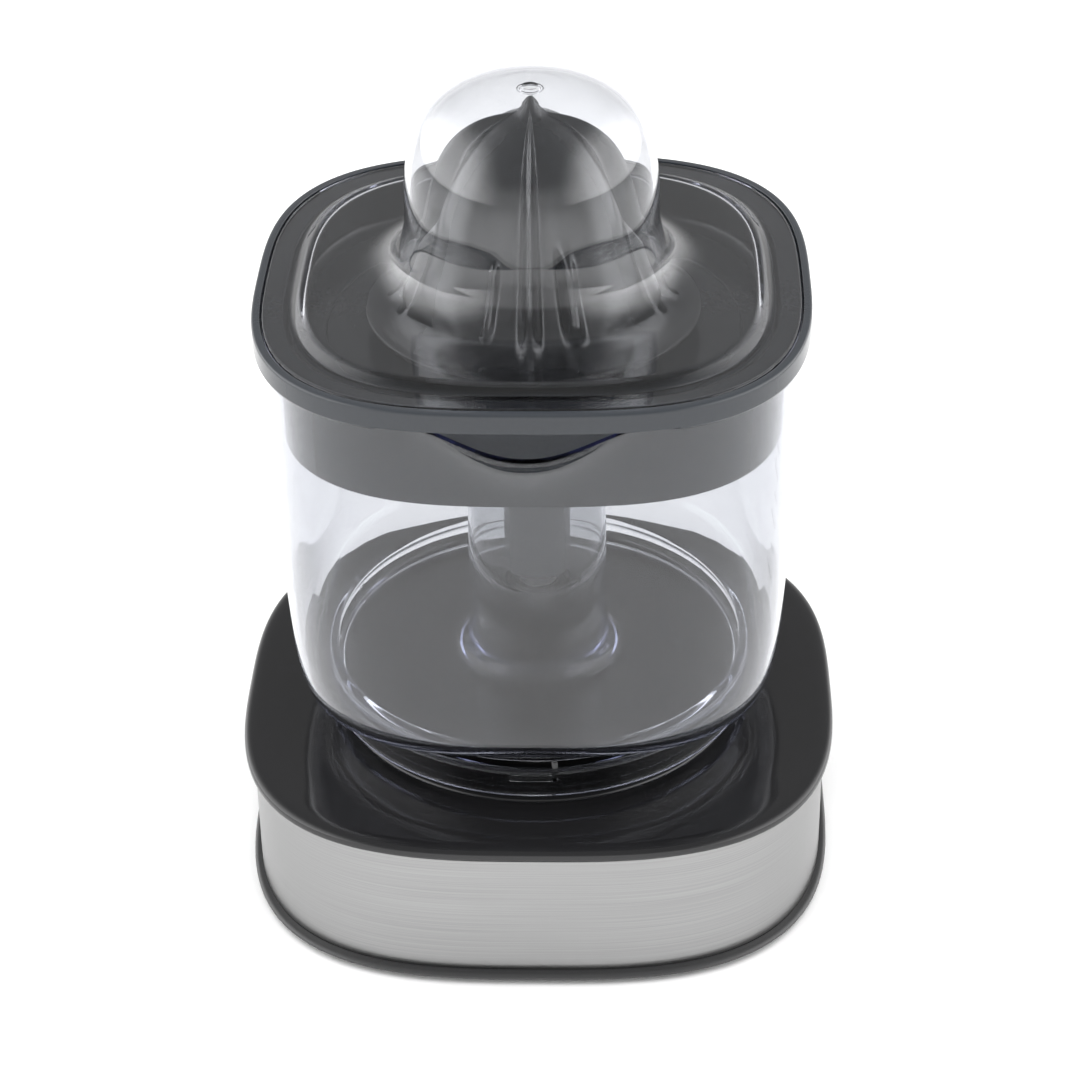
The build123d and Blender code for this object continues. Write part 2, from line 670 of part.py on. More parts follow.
under_ramp_z = ledge_z + 0.6
with BuildPart() as dust_cover:
    add(block(cover_half_x, cover_half_y, ledge_z + 0.1, ledge_z + 2.0, 0.7))
    add(skin([(62.4, 63.1, ledge_z + 1.8), (59.6, 60.3, plateau_z)]))
    add(dome_solid(0))
    add(block(60.8, 61.5, ledge_z, under_ramp_z), mode=Mode.SUBTRACT)
    add(skin([(60.8, 61.5, under_ramp_z), (57.9, 58.6, plateau_z - cover_wall)]), mode=Mode.SUBTRACT)
    add(dome_solid(cover_wall), mode=Mode.SUBTRACT)
save(dust_cover, "dust_cover")
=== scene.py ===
# %% [markdown]
# # A citrus press, cell by cell
# The press is a motor base with a clear jug on it, a strainer basket in the jug, a ribbed
# reamer on a spindle and a clear domed cover over all. The CAD model is loaded first as a
# fixed frame. Every piece below is made in metres, where that frame says it belongs.

# %% Load the frame
import math

import bmesh
import bpy
from mathutils import Matrix, Vector


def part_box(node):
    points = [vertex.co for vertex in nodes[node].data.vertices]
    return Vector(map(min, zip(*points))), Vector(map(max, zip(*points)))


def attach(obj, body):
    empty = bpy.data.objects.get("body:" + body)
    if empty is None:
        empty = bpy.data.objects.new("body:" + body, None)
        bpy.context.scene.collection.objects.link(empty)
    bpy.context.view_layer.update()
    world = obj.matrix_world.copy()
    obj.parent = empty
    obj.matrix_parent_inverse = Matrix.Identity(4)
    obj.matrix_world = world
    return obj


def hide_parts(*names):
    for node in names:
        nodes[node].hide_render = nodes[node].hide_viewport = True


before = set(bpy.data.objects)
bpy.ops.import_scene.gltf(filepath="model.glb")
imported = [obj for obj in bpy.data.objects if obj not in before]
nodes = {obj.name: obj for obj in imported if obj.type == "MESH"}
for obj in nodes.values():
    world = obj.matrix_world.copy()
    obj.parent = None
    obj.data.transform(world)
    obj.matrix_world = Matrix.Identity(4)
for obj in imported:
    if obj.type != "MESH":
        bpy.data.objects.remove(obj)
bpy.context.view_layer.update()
MM = 0.001

# %% [markdown]
# ## Sizes
# Outer sizes are read from the frame's boxes and kept in millimetres. A box only gives a
# piece's outside, so the steps inside a moulding, such as a ledge or a floor, are stated
# beside the piece that has them.

# %% Sizes from the frame


def top_of(node):
    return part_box(node)[1].z / MM


def bottom_of(node):
    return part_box(node)[0].z / MM


def half_of(node):
    low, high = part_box(node)
    return high.x / MM, -low.y / MM


plate_x, plate_y = half_of("top_cover")
band_x, band_y = half_of("steel_band")
rim_x, rim_y = half_of("strainer_basket")
cover_x, cover_y = half_of("dust_cover")
foot_x, foot_y = half_of("lower_housing")
band_low, band_high = bottom_of("steel_band"), top_of("steel_band")
rim_top = top_of("strainer_basket")
basket_low = bottom_of("strainer_basket")
dome_top = top_of("dust_cover")
skirt_low = bottom_of("jug")
tower_top = top_of("top_cover")
reamer_low, reamer_top = bottom_of("reamer"), top_of("reamer")
print(f"plate {plate_x:.1f} x {plate_y:.1f}, rim {rim_x:.1f} x {rim_y:.1f}, dome top {dome_top:.1f}")

# %% [markdown]
# ## One helper for almost every moulding
# Nearly all of these parts are one outline that changes size with height. The outline is a
# superellipse: power 2 is a circle and power 3 a square with bulging sides. A part's section
# is drawn as a list of stations, each with its half widths, height and power, and the helper
# skins rings of points through them. It is a lathe whose turning circle can go square.

# %% Outline and ring helpers
SQUARE = 3.0
ROUND = 2.0
RING_POINTS = 160
CREASE = math.radians(38)


def outline_point(half_x, half_y, power, angle):
    """Where a ray at this angle meets the outline."""
    reach_x = (abs(math.cos(angle)) / half_x) ** power
    reach_y = (abs(math.sin(angle)) / half_y) ** power
    radius = (reach_x + reach_y) ** (-1 / power)
    return radius * math.cos(angle), radius * math.sin(angle)


def station(half_x, z, power=ROUND, extra_y=0.0, corner=0.0):
    """One corner of a section: half width, height, power, extra depth and rounding."""
    return (half_x, half_x + extra_y, z, power), corner


def soften(corners, closed=False, steps=5):
    """Round each corner of a section with a short curve, with a support point on each side."""
    result = []
    count = len(corners)
    for index, (here, size) in enumerate(corners):
        at_end = not closed and index in (0, count - 1)
        if size == 0 or at_end:
            result.append(here)
            continue
        before = corners[index - 1][0]
        after = corners[(index + 1) % count][0]

        def towards(other, length):
            span = math.dist((here[0], here[2]), (other[0], other[2])) or 1.0
            share = min(length / span, 0.46)
            return [a + (b - a) * share for a, b in zip(here, other)]

        start, end = towards(before, size), towards(after, size)
        result.append(towards(before, size * 1.3))
        for step in range(steps + 1):
            t = step / steps
            result.append([
                (1 - t) ** 2 * a + 2 * t * (1 - t) * b + t * t * c for a, b, c in zip(start, here, end)
            ])
        result.append(towards(after, size * 1.3))
    return result


def new_object(name, bm):
    """Finish a bmesh: merge doubles, point faces outwards, shade, and link it."""
    bmesh.ops.remove_doubles(bm, verts=bm.verts, dist=1e-7)
    bmesh.ops.recalc_face_normals(bm, faces=bm.faces)
    mesh = bpy.data.meshes.new(name)
    bm.to_mesh(mesh)
    bm.free()
    piece = bpy.data.objects.new(name, mesh)
    bpy.context.scene.collection.objects.link(piece)
    mesh.shade_smooth()
    mesh.set_sharp_from_angle(angle=CREASE)
    return piece


def bridge(bm, low, high, count):
    """Faces between two rings of points; a ring of one point closes the end."""
    for index in range(count):
        after = (index + 1) % count
        corners = [
            low[index % len(low)], low[after % len(low)],
            high[after % len(high)], high[index % len(high)],
        ]
        unique = list(dict.fromkeys(corners))
        if len(unique) > 2:
            bm.faces.new(unique)


def skin_rings(bm, stations, closed=False, shape=None, points=RING_POINTS):
    """Skin a ring of points through each station; a zero width closes on the axis."""
    rings = []
    for half_x, half_y, z, power in stations:
        if half_x < 1e-6:
            rings.append([bm.verts.new((0, 0, z * MM))])
            continue
        ring = []
        for index in range(points):
            angle = 2 * math.pi * index / points - math.pi / 2
            x, y = outline_point(half_x, half_y, power, angle)
            spot = shape(x, y, z) if shape else (x, y, z)
            ring.append(bm.verts.new([value * MM for value in spot]))
        rings.append(ring)
    pairs = list(zip(rings, rings[1:]))
    if closed:
        pairs.append((rings[-1], rings[0]))
    for low, high in pairs:
        bridge(bm, low, high, points)


def moulding(name, corners, closed=True, shape=None, points=RING_POINTS, steps=5):
    """A whole piece from one softened section."""
    bm = bmesh.new()
    skin_rings(bm, soften(corners, closed, steps), closed, shape, points)
    return new_object(name, bm)


print("helpers ready, rings of", RING_POINTS, "points")

# %% [markdown]
# ## Finishes
# Every finish is a Principled shader with its numbers on its own sockets. Fine noise on
# object coordinates moves the roughness and the bump a little, because no moulded or rolled
# surface is perfectly even.

# %% Material helper


def finish(
    name, color, roughness, metallic=0.0, spread=0.05, grain=900.0, bump=0.02, tone=0.06,
    stretch=None, **sockets
):
    """A Principled material with noise in its roughness, colour and bump."""
    material = bpy.data.materials.new(name)
    material.use_nodes = True
    tree = material.node_tree
    shader = tree.nodes["Principled BSDF"]
    shader.inputs["Metallic"].default_value = metallic
    for socket, value in sockets.items():
        shader.inputs[socket.replace("_", " ")].default_value = value
    where = tree.nodes.new("ShaderNodeTexCoord")
    mapping = tree.nodes.new("ShaderNodeMapping")
    mapping.inputs["Scale"].default_value = stretch or (1, 1, 1)
    tree.links.new(where.outputs["Object"], mapping.inputs["Vector"])
    fine = tree.nodes.new("ShaderNodeTexNoise")
    fine.inputs["Scale"].default_value = grain
    fine.inputs["Detail"].default_value = 3.0
    broad = tree.nodes.new("ShaderNodeTexNoise")
    broad.inputs["Scale"].default_value = 28.0
    broad.inputs["Detail"].default_value = 4.0
    for noise in (fine, broad):
        tree.links.new(mapping.outputs["Vector"], noise.inputs["Vector"])
    rough = tree.nodes.new("ShaderNodeMapRange")
    rough.inputs["To Min"].default_value = max(0.0, roughness - spread)
    rough.inputs["To Max"].default_value = roughness + spread
    tree.links.new(broad.outputs["Fac"], rough.inputs["Value"])
    tree.links.new(rough.outputs["Result"], shader.inputs["Roughness"])
    mix = tree.nodes.new("ShaderNodeMix")
    mix.data_type = "RGBA"
    mix.inputs["A"].default_value = (*[c * (1 - tone) for c in color], 1)
    mix.inputs["B"].default_value = (*[min(1, c * (1 + tone)) for c in color], 1)
    tree.links.new(fine.outputs["Fac"], mix.inputs["Factor"])
    tree.links.new(mix.outputs["Result"], shader.inputs["Base Color"])
    if bump:
        relief = tree.nodes.new("ShaderNodeBump")
        relief.inputs["Strength"].default_value = bump
        relief.inputs["Distance"].default_value = 0.0004
        tree.links.new(fine.outputs["Fac"], relief.inputs["Height"])
        tree.links.new(relief.outputs["Normal"], shader.inputs["Normal"])
    return material


# %% [markdown]
# The opaque plastics differ mainly in gloss. The plate is polished in the mould, so it has
# a clear, mirror-like reflection; the foot rim and the rear cover have a fine satin texture.

# %% Opaque finishes
gloss_black = finish("gloss_black", (0.012, 0.012, 0.013), 0.07, spread=0.02, bump=0.006, grain=300.0)
satin_black = finish("satin_black", (0.034, 0.034, 0.035), 0.34, spread=0.06, bump=0.10, grain=1600.0)
dark_gloss = finish("dark_gloss", (0.032, 0.036, 0.042), 0.18, spread=0.03, bump=0.0)
reamer_gloss = finish(
    "reamer_gloss", (0.03, 0.032, 0.035), 0.20, spread=0.03, bump=0.0, Specular_IOR_Level=0.95,
)
rubber = finish("rubber_black", (0.02, 0.02, 0.02), 0.72, spread=0.08, bump=0.25, grain=1400.0)
acetal = finish("acetal_white", (0.78, 0.77, 0.72), 0.38, spread=0.05, bump=0.04, grain=700.0)
zinc_steel = finish(
    "zinc_steel", (0.62, 0.62, 0.63), 0.28, metallic=1.0, spread=0.08, bump=0.04, grain=1200.0,
)
spring_steel = finish("spring_steel", (0.50, 0.50, 0.50), 0.24, metallic=1.0, spread=0.06, bump=0.03)
bronze = finish("bronze", (0.52, 0.33, 0.16), 0.42, metallic=1.0, spread=0.08, bump=0.12, grain=1800.0)
copper = finish(
    "copper_winding", (0.60, 0.24, 0.09), 0.30, metallic=1.0, bump=0.6, grain=60.0, stretch=(1, 1, 40),
)
ferrite = finish("ferrite", (0.05, 0.05, 0.055), 0.55, metallic=0.3, bump=0.15, grain=1500.0)
switch_black = finish("switch_plastic", (0.06, 0.06, 0.065), 0.5, bump=0.08, grain=1300.0)
print(len(bpy.data.materials), "finishes so far")

# %% [markdown]
# The clear parts are polished styrene-acrylonitrile. They are closed shells with a real
# wall, so light bends in and out of them as it does in the moulding. A faint violet
# absorption inside the wall only shows where the eye looks along it, at rims and edges.

# %% Clear plastic


def clear_plastic(name, tint, haze, shine):
    material = finish(
        name, tint, haze, spread=haze * 0.5, bump=0.004, grain=120.0, tone=0.004,
        Transmission_Weight=1.0, IOR=1.50, Specular_IOR_Level=shine,
    )
    tree = material.node_tree
    inside = tree.nodes.new("ShaderNodeVolumeAbsorption")
    inside.inputs["Color"].default_value = (0.25, 0.30, 0.58, 1)
    inside.inputs["Density"].default_value = 34.0
    tree.links.new(inside.outputs["Volume"], tree.nodes["Material Output"].inputs["Volume"])
    return material


clear_cover = clear_plastic("clear_cover", (0.86, 0.865, 0.87), 0.012, 0.22)
clear_jug = clear_plastic("clear_jug", (0.73, 0.737, 0.744), 0.012, 0.5)

# %% [markdown]
# Brushed steel is scratched in one direction, along the sheet. Noise stretched far along
# the wrap and very fine across it gives the scratches, and the shader's anisotropy smears
# reflections across them.

# %% Brushed steel


def brushed_steel(name):
    material = bpy.data.materials.new(name)
    material.use_nodes = True
    tree = material.node_tree
    shader = tree.nodes["Principled BSDF"]
    shader.inputs["Metallic"].default_value = 1.0
    shader.inputs["Anisotropic"].default_value = 0.55
    uv = tree.nodes.new("ShaderNodeUVMap")
    uv.uv_map = "wrap"
    mapping = tree.nodes.new("ShaderNodeMapping")
    mapping.inputs["Scale"].default_value = (14.0, 2600.0, 1.0)
    tree.links.new(uv.outputs["UV"], mapping.inputs["Vector"])
    scratches = tree.nodes.new("ShaderNodeTexNoise")
    scratches.inputs["Scale"].default_value = 1.0
    scratches.inputs["Detail"].default_value = 6.0
    tree.links.new(mapping.outputs["Vector"], scratches.inputs["Vector"])
    shade = tree.nodes.new("ShaderNodeMapRange")
    shade.inputs["To Min"].default_value = 0.22
    shade.inputs["To Max"].default_value = 0.44
    tree.links.new(scratches.outputs["Fac"], shade.inputs["Value"])
    tree.links.new(shade.outputs["Result"], shader.inputs["Roughness"])
    mix = tree.nodes.new("ShaderNodeMix")
    mix.data_type = "RGBA"
    mix.inputs["A"].default_value = (0.25, 0.25, 0.25, 1)
    mix.inputs["B"].default_value = (0.42, 0.42, 0.42, 1)
    tree.links.new(scratches.outputs["Fac"], mix.inputs["Factor"])
    tree.links.new(mix.outputs["Result"], shader.inputs["Base Color"])
    relief = tree.nodes.new("ShaderNodeBump")
    relief.inputs["Strength"].default_value = 0.12
    relief.inputs["Distance"].default_value = 0.0001
    tree.links.new(scratches.outputs["Fac"], relief.inputs["Height"])
    tree.links.new(relief.outputs["Normal"], shader.inputs["Normal"])
    along = tree.nodes.new("ShaderNodeTangent")
    along.direction_type = "UV_MAP"
    along.uv_map = "wrap"
    tree.links.new(along.outputs["Tangent"], shader.inputs["Tangent"])
    return material


steel = brushed_steel("brushed_steel")

# %% [markdown]
# ## Keeping track of the pieces
# Each finished piece rides on a CAD body, takes the finish it is given, and may stand in
# for the plainer CAD node of the same part.

# %% Place a piece


def place(piece, body, slot, material, *replaced):
    piece.data.materials.clear()
    piece.data.materials.append(material)
    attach(piece, body)
    if replaced:
        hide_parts(*replaced)
    faces = len(piece.data.polygons)
    print(f"{piece.name}: {faces} faces on {body}")
    return piece


# %% [markdown]
# ## The base's black plate
# The top cover is one gloss moulding: a thin plate with a rounded lip, a round platform
# that centres the jug, and a tower that holds the spindle's bearing. It could be several
# primitives joined, but one section from lip to tower gives the flowing fillets that a
# mould has.

# %% Top cover
plate_extra = plate_y - plate_x
plate_low, plate_high = band_high, band_high + 3.5
platform_r, platform_z = 56.0, 55.0
top_section = [
    station(plate_x - 0.4, plate_low, SQUARE, plate_extra, 0.5),
    station(plate_x, plate_low + 0.6, SQUARE, plate_extra, 0.5),
    station(plate_x, plate_high - 1.0, SQUARE, plate_extra, 1.0),
    station(plate_x - 2.2, plate_high, SQUARE, plate_extra, 2.0),
    station(72.0, plate_high - 0.2, 2.6, plate_extra * 0.8, 2.0),
    station(62.0, plate_high - 0.9, ROUND, 0, 2.0),
    station(platform_r + 0.2, plate_high - 0.9, ROUND, 0, 0.8),
    station(platform_r, platform_z, ROUND, 0, 1.2),
    station(20.0, platform_z, ROUND, 0, 1.6),
    station(18.2, platform_z + 2.5, ROUND, 0, 1.2),
    station(17.6, 66.5, ROUND, 0, 1.2),
    station(15.0, 69.5, ROUND, 0, 1.0),
    station(15.0, tower_top, ROUND, 0, 1.0),
    station(9.0, tower_top, ROUND, 0, 0.4),
    station(9.0, 76.5, ROUND, 0, 0.2),
    station(7.5, 76.5, ROUND, 0, 0.2),
    station(7.5, 68.0, ROUND, 0, 0.2),
    station(11.0, 68.0, ROUND, 0, 0.4),
    station(14.0, 64.0, ROUND, 0, 0.4),
    station(14.0, 52.8, ROUND, 0, 0.4),
    station(53.5, 52.8, ROUND, 0, 0.6),
    station(53.5, 42.0, ROUND, 0, 0.6),
    station(74.6, 42.0, SQUARE, -1.4, 0.4),
    station(74.6, 36.5, SQUARE, -1.4, 0.4),
    station(76.6, 36.5, SQUARE, -1.4, 0.4),
    station(76.6, plate_low, SQUARE, -1.4, 0.2),
]
top_cover = moulding("top_cover_moulding", top_section)
place(top_cover, "base", "black_gloss", gloss_black, "top_cover")

# %% [markdown]
# ## The steel band and the rear cover
# The band is a strip of sheet bent round the front and sides. It ends where the black rear
# cover begins, so both are the same helper: a section carried part of the way round the
# outline, with an end cap at each end. The strip keeps a UV map, along it and up it, for
# the brushing.

# %% Wrapped strips
SPLIT_Y, SPLIT_GAP = 4.0, 0.3
REAR_STEP = 1.2


def outline_angle(half_x, half_y, y):
    """The angle, on the right side, where the outline has this y."""
    low, high = -math.pi / 2, math.pi / 2
    for _ in range(40):
        middle = (low + high) / 2
        if outline_point(half_x, half_y, SQUARE, middle)[1] < y:
            low = middle
        else:
            high = middle
    return low


def wrapped(name, corners, start, end, steps=150):
    """Carry a closed section round the outline from one angle to another."""
    section = soften(corners, closed=True)
    bm = bmesh.new()
    uv = bm.loops.layers.uv.new("wrap")
    rings, lengths, run, last = [], [], 0.0, None
    for step in range(steps + 1):
        angle = start + (end - start) * step / steps
        ring = []
        for half_x, half_y, z, power in section:
            x, y = outline_point(half_x, half_y, power, angle)
            ring.append(bm.verts.new((x * MM, y * MM, z * MM)))
        if last is not None:
            run += (ring[0].co - last).length
        last = ring[0].co.copy()
        lengths.append(run)
        rings.append(ring)
    count = len(section)
    for step in range(steps):
        for index in range(count):
            after = (index + 1) % count
            face = bm.faces.new([
                rings[step][index], rings[step + 1][index], rings[step + 1][after], rings[step][after],
            ])
            spots = [(step, index), (step + 1, index), (step + 1, after), (step, after)]
            for loop, (along, _) in zip(face.loops, spots):
                loop[uv].uv = (lengths[along], loop.vert.co.z)
    bm.faces.new(rings[0])
    bm.faces.new(rings[-1])
    return new_object(name, bm)


def strip_section(half_x, half_y, low, high, thickness, edge):
    """Outer face, inner face and rounded edges of a standing strip."""
    extra = half_y - half_x
    return [
        station(half_x, low, SQUARE, extra, edge),
        station(half_x, high, SQUARE, extra, edge),
        station(half_x - thickness, high, SQUARE, extra, edge * 0.5),
        station(half_x - thickness, low, SQUARE, extra, edge * 0.5),
    ]


band_turn = outline_angle(band_x, band_y, SPLIT_Y)
steel_band = wrapped(
    "steel_band_strip", strip_section(band_x, band_y, band_low + 0.1, band_high - 0.05, 0.75, 0.25),
    -math.pi - band_turn, band_turn,
)
place(steel_band, "base", "brushed_steel", steel, "steel_band")

rear_x, rear_y = band_x + REAR_STEP, band_y + REAR_STEP
rear_turn = outline_angle(rear_x, rear_y, SPLIT_Y + SPLIT_GAP)
rear_cover = wrapped(
    "rear_cover_moulding", strip_section(rear_x, rear_y, band_low + 0.1, band_high - 0.05, 1.9, 0.7),
    rear_turn, math.pi - rear_turn,
)
place(rear_cover, "base", "black_satin", satin_black, "rear_cover")

# %% [markdown]
# ## The foot rim
# The lower housing shows only as a thin dark rim under the band and as the underside. Its
# walls stand inside the band, so they're part of the same section.

# %% Lower housing
foot_extra = foot_y - foot_x
housing_section = [
    station(0, 1.0, ROUND),
    station(30, 1.0, ROUND, 0, 1.0),
    station(foot_x - 1.4, 1.0, SQUARE, foot_extra, 1.2),
    station(foot_x, 1.9, SQUARE, foot_extra, 0.6),
    station(foot_x, 2.8, SQUARE, foot_extra, 0.5),
    station(foot_x - 0.8, 3.4, SQUARE, foot_extra, 0.5),
    station(band_x - 0.8, 3.4, SQUARE, band_y - band_x, 0.2),
    station(band_x - 0.8, band_high - 0.1, SQUARE, band_y - band_x, 0.3),
    station(band_x - 3.0, band_high - 0.1, SQUARE, band_y - band_x, 0.3),
    station(band_x - 3.0, 3.4, SQUARE, band_y - band_x, 0.8),
    station(30, 3.4, ROUND, 0, 1.0),
    station(0, 3.4, ROUND),
]
lower_housing = moulding("lower_housing_moulding", housing_section, closed=False)
place(lower_housing, "base", "black_satin", satin_black, "lower_housing")

# %% [markdown]
# ## The jug
# The jug is one clear moulding: bulging square walls, a pouring lip, a floor that steps
# down into a round skirt, and a hollow column for the spindle. One closed section goes up
# the outside, down the inside, across the floor, and up and down the column. The lip is a
# bump in the wall that grows towards the rim, and is made by moving the ring points.

# %% Jug sizes
jug_rim = 166.3
jug_wall = 2.0
skirt_r = 59.1
column_top = 138.0
floor_low, floor_high = 55.4, 57.4
lip_half, lip_reach, lip_drop, lip_low = 32.0, 9.4, 4.0, 146.0


def pouring_lip(x, y, z):
    """Push the front wall out and down into the lip."""
    if y > -50 or z < lip_low or abs(x) > 45:
        return x, y, z
    rise = min(1.0, (z - lip_low) / (jug_rim - lip_low))
    half = 9.0 + (lip_half - 9.0) * rise ** 0.8
    if abs(x) >= half:
        return x, y, z
    share = math.cos(math.pi * x / (2 * half)) ** 2
    push = lip_reach * rise ** 1.5 * share
    drop = lip_drop * rise ** 5 * share
    return x, y - push, z - drop


def wall_half(z):
    """Outer half width of the jug's wall: widest near the top, drawn in to the floor."""
    if z >= 140:
        return 69.0 - 0.4 * (z - 140) / (jug_rim - 140)
    fall = (140 - z) / (140 - 62)
    return 69.0 - 1.0 * fall - 2.4 * fall ** 4


wall_heights = [82, 92, 104, 118, 132, 144, *range(147, 164, 2), 164.6]
outside = [
    station(wall_half(62) - 3.2, 62.4, SQUARE, 0, 2.0),
    station(wall_half(62) - 0.4, 65.4, SQUARE, 0, 2.6),
] + [station(wall_half(z), z, SQUARE) for z in [72] + wall_heights]
inside = [station(wall_half(z) - jug_wall, z, SQUARE) for z in wall_heights[::-1] + [74]]
jug_section = (
    [
        station(skirt_r, skirt_low, ROUND, 0, 0.4),
        station(skirt_r + 0.3, 60.6, ROUND, 0, 1.2),
    ]
    + outside
    + [
        station(wall_half(jug_rim), jug_rim, SQUARE, 0, 0.6),
        station(wall_half(jug_rim) - jug_wall, jug_rim, SQUARE, 0, 0.6),
    ]
    + inside
    + [
        station(wall_half(66) - jug_wall - 0.6, 66.4, SQUARE, 0, 2.4),
        station(wall_half(64) - jug_wall - 3.6, 64.0, SQUARE, 0, 1.6),
        station(skirt_r - 1.8, 63.4, ROUND, 0, 0.8),
        station(skirt_r - 2.4, floor_high, ROUND, 0, 1.2),
        station(24.4, floor_high, ROUND, 0, 1.0),
        station(21.6, floor_high + 1.6, ROUND, 0, 1.6),
        station(19.5, floor_high + 6.0, ROUND, 0, 2.0),
        station(18.5, column_top, ROUND, 0, 0.5),
        station(16.7, column_top, ROUND, 0, 0.5),
        station(19.0, floor_low + 4.0, ROUND, 0, 1.0),
        station(21.6, floor_low, ROUND, 0, 1.0),
        station(skirt_r - 2.9, floor_low, ROUND, 0, 0.6),
        station(skirt_r - 1.7, floor_low - 1.2, ROUND, 0, 0.6),
        station(skirt_r - 1.6, skirt_low, ROUND, 0, 0.4),
    ]
)
jug_bm = bmesh.new()
skin_rings(jug_bm, soften(jug_section, closed=True, steps=4), True, pouring_lip, 240)
print("jug shell", len(jug_bm.faces), "faces")

# %% [markdown]
# The handle is a loop at the back, a rounded bar carried along a D-shaped path. Small
# moulded details join the shell's mesh: three L-shaped ribs outside the skirt, which lock
# the jug to the base, and two dashes on the floor.

# %% Jug handle and ribs
HANDLE_WIDTH, HANDLE_DEPTH = 19.0, 7.0


def add_box(bm, centre, size, turn=0.0):
    """A small closed box with softened edges, in millimetres."""
    made = bmesh.ops.create_cube(bm, size=1.0)["verts"]
    for vert in made:
        x, y, z = (vert.co[i] * size[i] for i in range(3))
        turned = (x * math.cos(turn) - y * math.sin(turn), x * math.sin(turn) + y * math.cos(turn), z)
        vert.co = Vector([(c + t) * MM for c, t in zip(centre, turned)])
    edges = list({edge for vert in made for edge in vert.link_edges})
    bmesh.ops.bevel(bm, geom=edges, offset=min(size) * 0.22 * MM, segments=2, affect="EDGES")


def carry_bar(bm, path, across, depth, points=20):
    """Carry a rounded bar along a path in the YZ plane; both ends are capped."""
    rings = []
    for index, (y, z) in enumerate(path):
        before = path[max(index - 1, 0)]
        after = path[min(index + 1, len(path) - 1)]
        run = Vector((after[0] - before[0], after[1] - before[1])).normalized()
        side = Vector((-run.y, run.x))
        ring = []
        for step in range(points):
            angle = 2 * math.pi * step / points
            u, v = outline_point(across / 2, depth / 2, 3.2, angle)
            ring.append(bm.verts.new((u * MM, (y + side.x * v) * MM, (z + side.y * v) * MM)))
        rings.append(ring)
    for low, high in zip(rings, rings[1:]):
        for step in range(points):
            after = (step + 1) % points
            bm.faces.new([low[step], low[after], high[after], high[step]])
    bm.faces.new(rings[0])
    bm.faces.new(rings[-1])


handle_top, handle_base, handle_back, handle_in = 146.4, 87.6, 102.4, 67.6
corner_turn = 13.0
corner_y = handle_back - corner_turn
path = [(handle_in, handle_top), (handle_in + 5, handle_top), (corner_y, handle_top)]
for step in range(1, 9):
    angle = math.pi / 2 * (1 - step / 8)
    corner_z = handle_top - corner_turn
    path.append((corner_y + corner_turn * math.cos(angle), corner_z + corner_turn * math.sin(angle)))
path.append((handle_back - 0.5, (handle_top + handle_base) / 2))
for step in range(9):
    angle = -math.pi / 2 * step / 8
    corner_z = handle_base + corner_turn
    path.append((corner_y + corner_turn * math.cos(angle), corner_z + corner_turn * math.sin(angle)))
path += [(handle_in + 5, handle_base), (handle_in, handle_base)]
carry_bar(jug_bm, path, HANDLE_WIDTH, HANDLE_DEPTH)
rib_bar, rib_length, rib_leg, rib_z = 1.6, 13.0, 7.0, 53.3
for turn in (0, 120, 240):
    angle = math.radians(turn - 90)
    out = Vector((math.cos(angle), math.sin(angle)))
    along = Vector((-out.y, out.x))
    flat = out * (skirt_r + 0.2)
    post = flat + along * (rib_length - rib_bar) / 2
    add_box(jug_bm, (flat.x, flat.y, rib_z), (rib_bar, rib_length, rib_bar), angle)
    add_box(jug_bm, (post.x, post.y, rib_z + (rib_leg - rib_bar) / 2), (rib_bar, rib_bar, rib_leg), angle)
for side in (-1, 1):
    add_box(jug_bm, (side * 41.3, 0.2, floor_high + 0.4), (7.6, 2.2, 1.3))
jug = new_object("jug_moulding", jug_bm)
place(jug, "jug", "clear_plastic", clear_jug, "jug")

# %% [markdown]
# A scale is printed on the right side of the jug: plain strokes, long at every second step.
# Each stroke is a thin pad of ink that follows the wall's height and lean.

# %% Printed scale
tick_bm = bmesh.new()
for step in range(9):
    z = 82.0 + 8.0 * step
    length = 11.0 if step % 2 == 0 else 6.5
    add_box(tick_bm, (wall_half(z) + 0.05, -6.0 + length / 2, z), (0.24, length, 0.9))
ticks = new_object("jug_scale_print", tick_bm)
place(ticks, "jug", "black_satin", finish("scale_ink", (0.05, 0.055, 0.12), 0.5, bump=0.0))

# %% [markdown]
# ## The strainer basket
# A black rim with a ledge for the cover, a deep skirt that drops inside the jug, and a
# floor with slots. The rim's lower edge steps up over the spout so that juice can pour.

# %% Basket shell
rim_extra = rim_y - rim_x
rim_low, ledge = rim_top - 6.6, rim_top - 2.1
basket_half, basket_wall = 65.6, 1.8
strain_low, strain_high = 156.0, 158.0


def spout_relief(x, y, z):
    """Raise the rim's lower edge over the spout, with a short ramp at each end."""
    if y > -60 or z > rim_low + 1.0 or z < rim_low - 0.3 or abs(y) < basket_half + 0.8:
        return x, y, z
    ramp = max(0.0, min(1.0, (37.0 - abs(x)) / 3.0))
    return x, y, z + 1.8 * ramp


